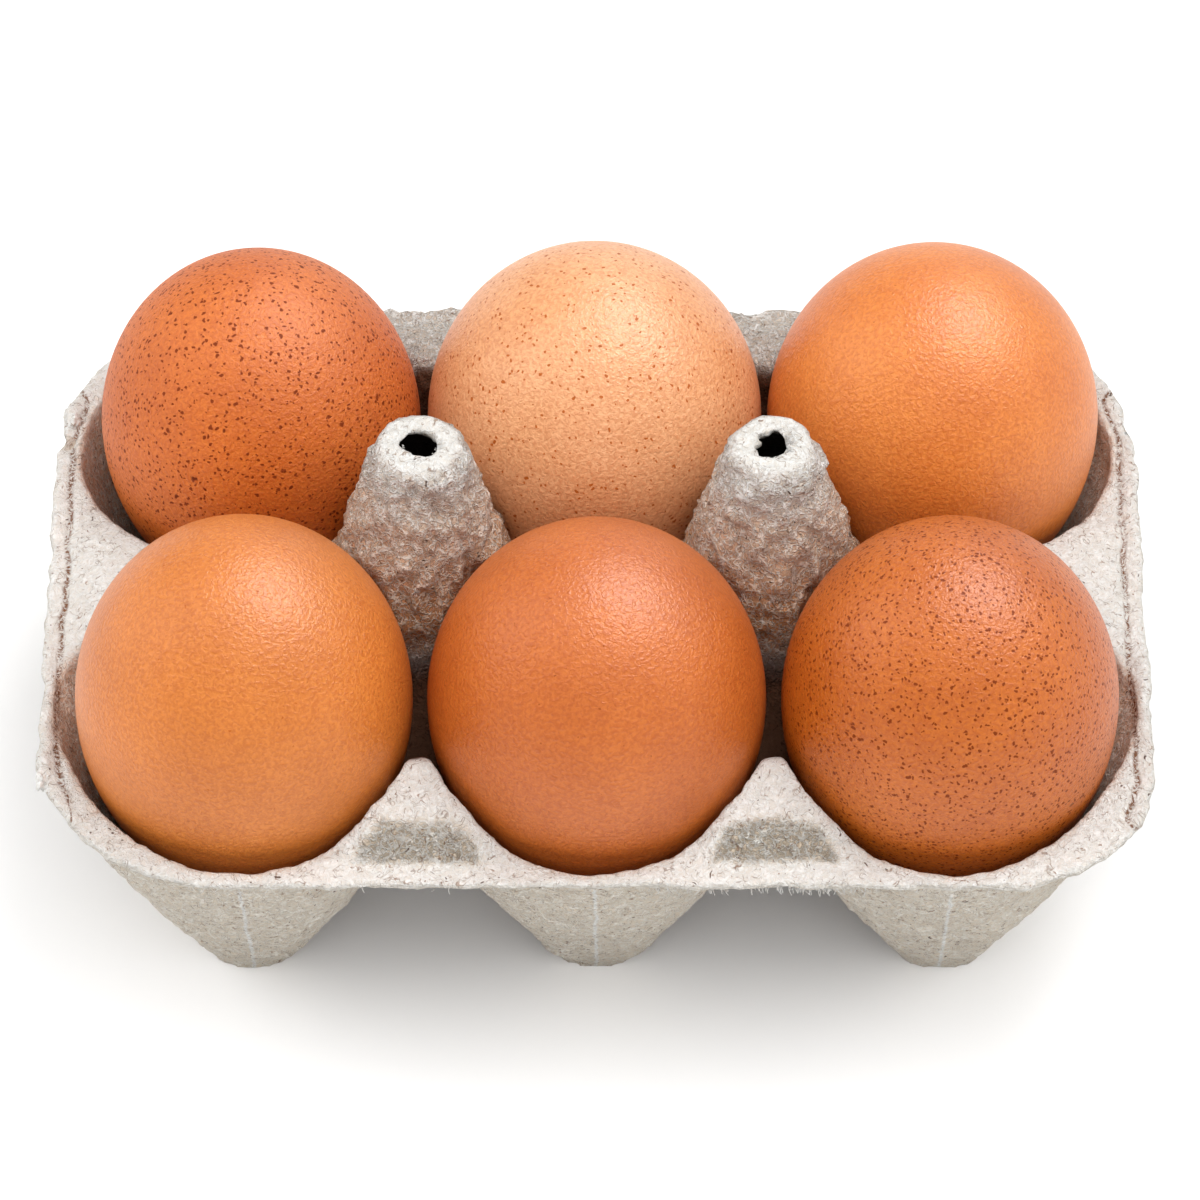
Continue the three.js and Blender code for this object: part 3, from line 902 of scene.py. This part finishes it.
    relief = weight["rough"]
    for amount in (weight["brown"], wire):
        relief = add(tree, "ShaderNodeMath", {"operation": "MAXIMUM"}, {0: relief, 1: amount})
    clumps = add(tree, "ShaderNodeTexNoise", {"Scale": 0.85, "Detail": 2.0}, {"Vector": close})
    height = add(tree, "ShaderNodeMath", {"operation": "MULTIPLY_ADD", 1: 0.5}, {0: threads, 2: felt})
    height = add(tree, "ShaderNodeMath", {"operation": "MULTIPLY_ADD", 1: 0.9}, {0: clumps, 2: height})
    height = add(tree, "ShaderNodeMath", {"operation": "MULTIPLY_ADD"}, {0: matted, 1: relief, 2: height})
    strength = add(tree, "ShaderNodeMapRange", {"To Min": 0.5, "To Max": 1.0}, {"Value": relief})
    bump = add(tree, "ShaderNodeBump", {"Distance": 0.7 * MM}, {"Height": height, "Strength": strength})
    shader = add(tree, "ShaderNodeBsdfPrincipled",
                 {"Roughness": 0.93, "IOR": 1.4, "Specular IOR Level": 0.25},
                 {"Base Color": colour, "Normal": bump})
    add(tree, "ShaderNodeOutputMaterial", {}, {"Surface": shader})
    return material


def eggshell(name, ground, shade, roughness, freckles):
    """Brown hen's eggshell: pigment over chalk, under a thin dry cuticle. It has a soft satin sheen,
    pores as fine as orange peel, slow changes of tone, and on some eggs freckles of darker pigment."""
    material, tree, grid = new_material(name)
    uneven = curled_grid(tree, grid, 1.1, 0.9)
    slow = add(tree, "ShaderNodeTexNoise", {"Scale": 0.07, "Detail": 3.0, "Roughness": 0.55},
               {"Vector": grid})
    tone = add(tree, "ShaderNodeMapRange", {"From Min": 0.35, "From Max": 0.65}, {"Value": slow})
    colour = add(tree, "ShaderNodeMix", {"data_type": "RGBA", MIX_A: linear(ground), MIX_B: linear(shade)},
                 {"Factor": tone})
    pores = add(tree, "ShaderNodeTexNoise", {"Scale": 1 / PORE, "Detail": 1.5, "Roughness": 0.55},
                {"Vector": curled_grid(tree, grid, 1.6, 0.7)})
    sunk = add(tree, "ShaderNodeMapRange", {"From Min": 0.35, "From Max": 0.65, "To Max": 0.55},
               {"Value": pores})
    colour = add(tree, "ShaderNodeMix",
                 {"data_type": "RGBA", "blend_type": "MULTIPLY", MIX_B: linear(PORE_TINT)},
                 {"Factor": sunk, MIX_A: colour})
    dull = None
    for spacing, size, share, tint, strength in freckles:
        colour, dots = speckled(tree, uneven, colour, spacing, size, share, tint, strength)
        dull = dots if dull is None else add(tree, "ShaderNodeMath", {"operation": "MAXIMUM"},
                                             {0: dull, 1: dots})
    gloss = add(tree, "ShaderNodeMapRange", {"To Min": SHELL_GLOSS, "To Max": FRECKLE_GLOSS},
                {"Value": dull})
    bump = add(tree, "ShaderNodeBump", {"Distance": 0.25 * MM, "Strength": 0.8}, {"Height": pores})
    shader = add(tree, "ShaderNodeBsdfPrincipled", {"Roughness": roughness, "IOR": 1.5},
                 {"Base Color": colour, "Normal": bump, "Specular IOR Level": gloss})
    add(tree, "ShaderNodeOutputMaterial", {}, {"Surface": shader})
    return material


def loose_fibres():
    """Hairs of paper standing out of the torn front edge and round the holes in the posts."""
    draw = random.Random(7)
    curve = bpy.data.curves.new("loose_fibres", "CURVE")
    curve.dimensions = "3D"
    curve.bevel_depth = FIBRE_RADIUS
    curve.bevel_resolution = 0
    roots = []
    for i in range(FRONT_FIBRES):
        x = draw.gauss(*FRONT_TUFT) if i % 4 else draw.uniform(*FRONT_SPAN)
        roots.append((Vector((x, -HALF_DEPTH + 0.75, RIM_HEIGHT - draw.uniform(0.6, 1.3))),
                      Vector((draw.uniform(-0.7, 0.7), -0.35, -1)), draw.uniform(*FRONT_LENGTHS)))
    for side in (-1, 1):
        for _ in range(HOLE_FIBRES):
            angle = draw.uniform(0, math.tau)
            away = Vector((math.cos(angle), math.sin(angle), 0))
            root = Vector((side * COLUMN_PITCH / 2, 0, POST_HEIGHT - 0.4)) + away * (HOLE_RADIUS + 0.2)
            roots.append((root, -away + Vector((draw.uniform(-0.8, 0.8), draw.uniform(-0.8, 0.8), 0.1)),
                          draw.uniform(*HOLE_LENGTHS)))
    for root, heading, length in roots:
        spline = curve.splines.new("POLY")
        spline.points.add(3)
        heading = heading.normalized()
        bend = Vector((draw.uniform(-0.35, 0.35), draw.uniform(-0.1, 0.1), draw.uniform(-0.2, 0.35)))
        for i, point in enumerate(spline.points):
            along = i / 3
            place = root + length * (heading * along + bend * along * along)
            place.y = max(place.y, -HALF_DEPTH + FIBRE_RADIUS)
            point.co = (*place, 1.0)
            point.radius = 1.0 - 0.5 * along
    fibres = linked("loose_fibres", curve)
    mesh = bpy.data.meshes.new_from_object(fibres.evaluated_get(bpy.context.evaluated_depsgraph_get()))
    bpy.data.objects.remove(fibres)
    return linked("loose_fibres", mesh)


def torn_scraps():
    """Small crumpled scraps of pulp left on the rim where the tray was torn from its lid."""
    draw = random.Random(11)
    bm = bmesh.new()
    for middle, reach in SCRAPS:
        ball = bmesh.ops.create_icosphere(bm, subdivisions=4, radius=1.0)["verts"]
        seed = Vector((draw.uniform(0, 50), draw.uniform(0, 50), draw.uniform(0, 50)))
        for vert in ball:
            crumple = 1 + 0.45 * noise.noise(vert.co * 1.6 + seed) + 0.2 * noise.noise(vert.co * 4.5 + seed)
            vert.co = Vector(middle) + Vector(reach) * crumple * vert.co
            vert.co.x = max(-HALF_LENGTH, min(HALF_LENGTH, vert.co.x))
    return from_bmesh("torn_scraps", bm)


def finished(piece, material):
    """Brings a piece to metres, smooths its shading, and gives it its body and material."""
    piece.data.transform(Matrix.Scale(MM, 4))
    piece.data.shade_smooth()
    piece.data.materials.clear()
    piece.data.materials.append(material)
    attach(piece, "root")
    return piece


def egg_piece(name, middle, half_width, blunt, pointed, lean):
    """An egg about its widest ring, turned from the slimmer pointed end up to the blunt end."""
    angles = np.linspace(0, math.pi, EGG_RINGS + 1)
    down = np.maximum(0, np.cos(angles))
    radii = half_width * np.sin(angles) * (1 - EGG_TAPER * down * down)
    heights = -np.where(np.cos(angles) > 0, pointed, blunt) * np.cos(angles)
    egg = turned("shell_" + name.removeprefix("egg_"), radii[1:-1], heights[1:-1], EGG_SIDES)
    egg.data.transform(Matrix.Translation(middle) @ Matrix.Rotation(math.radians(lean), 4, "Y"))
    return egg


def photo_camera():
    """The camera at the photograph's viewing angle and distance."""
    camera = bpy.data.objects.new("camera", bpy.data.cameras.new("camera"))
    camera.data.lens = LENS
    camera.data.sensor_width = SENSOR
    camera.location = TARGET + DISTANCE * Vector((0, -math.cos(ELEVATION), math.sin(ELEVATION)))
    camera.rotation_euler = (math.pi / 2 - ELEVATION, 0, 0)
    bpy.context.scene.collection.objects.link(camera)
    bpy.context.scene.camera = camera


def softbox(name, heading, size, power, on_matt, in_gloss):
    """A square studio light on one side of the tray, facing it."""
    lamp = bpy.data.objects.new(name, bpy.data.lights.new(name, "AREA"))
    lamp.data.size = size
    lamp.data.energy = power
    lamp.visible_diffuse = on_matt
    lamp.visible_glossy = in_gloss
    away = Vector(heading).normalized()
    lamp.location = away * SOFTBOX_DISTANCE
    lamp.rotation_euler = away.to_track_quat("Z", "Y").to_euler()
    bpy.context.scene.collection.objects.link(lamp)


def studio():
    """A plain white floor and surroundings, with a small softbox above and large ones round the front."""
    bm = bmesh.new()
    bmesh.ops.create_grid(bm, x_segments=1, y_segments=1, size=FLOOR_REACH)
    floor = from_bmesh("floor", bm)
    material, tree, _ = new_material("white_card")
    shader = add(tree, "ShaderNodeBsdfDiffuse", {"Color": linear("#f8f8f8")})
    add(tree, "ShaderNodeOutputMaterial", {}, {"Surface": shader})
    floor.data.materials.append(material)
    world = bpy.data.worlds.new("studio")
    bpy.context.scene.world = world
    world.use_nodes = True
    world.node_tree.nodes["Background"].inputs["Color"].default_value = linear("#ffffff")
    world.node_tree.nodes["Background"].inputs["Strength"].default_value = WORLD_LIGHT
    for light in SOFTBOXES:
        softbox(*light)
    bpy.context.scene.view_settings.view_transform = "Standard"


tray = moulded_tray()
tray.name = "pulp_tray"
roughen(tray)
thinned(tray, TRAY_TRIANGLES)
pulp = moulded_pulp()
finished(tray, pulp)
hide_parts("tray")
for part in (loose_fibres(), torn_scraps()):
    for weight, value in LOOSE_WEIGHTS.items():
        weigh(part.data, weight, np.full(len(part.data.vertices), value))
    finished(part, pulp)

for (node, *shape), (slot, *looks) in zip(EGGS, SHELLS):
    egg = finished(egg_piece(node, *shape), eggshell(slot.replace("shell_", "eggshell_"), *looks))
    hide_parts(node)

photo_camera()
studio()
